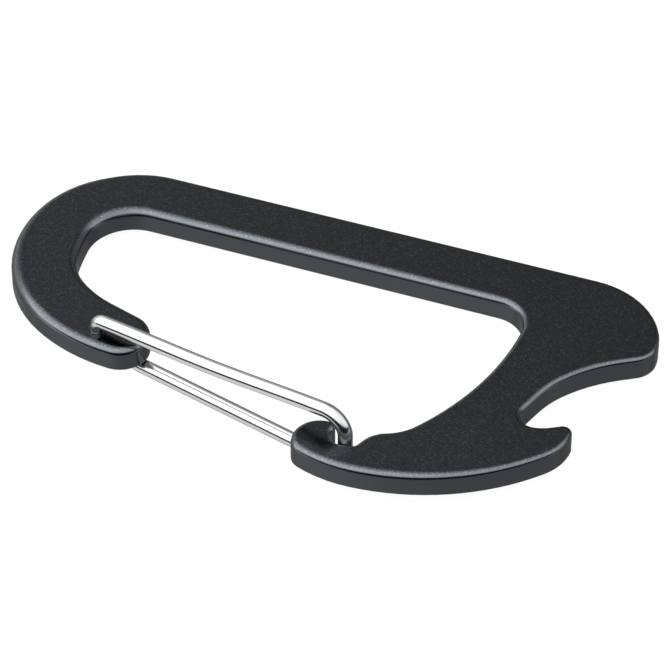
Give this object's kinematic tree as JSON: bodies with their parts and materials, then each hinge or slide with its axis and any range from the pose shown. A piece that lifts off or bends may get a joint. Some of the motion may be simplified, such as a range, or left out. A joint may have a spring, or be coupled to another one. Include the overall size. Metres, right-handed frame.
{
  "type": "carabiner keyring",
  "caption": "Flat D-shaped keyring carabiner with a bottle opener hook and a sprung wire gate.",
  "frame": {"origin": "middle of the outline in plan, at the height of the lowest point of the gate wire", "axes": "+X along the spine towards the bottle opener, +Y from the gate towards the spine, +Z square to the plate"},
  "size_m": [0.0801, 0.0417, 0.0094],
  "materials": {
    "plate": "bead-blasted, black anodised, satin",
    "wire": "polished stainless spring wire"
  },
  "bodies": {
    "frame": {"body_plate": "plate", "gate_flex_end": "wire"},
    "gate": {"wire_gate": "wire"}
  },
  "joints": [
    {"name": "gate_hinge", "type": "hinge", "parent": "frame", "child": "gate", "pos_m": [-0.0239, -0.009, 0.0039], "axis": [0, 0, 1], "range_deg": [0, 44], "stiffness_Nm_per_rad": 0.15, "springref_deg": -11.46, "deforming": ["gate_flex_end"]}
  ]
}
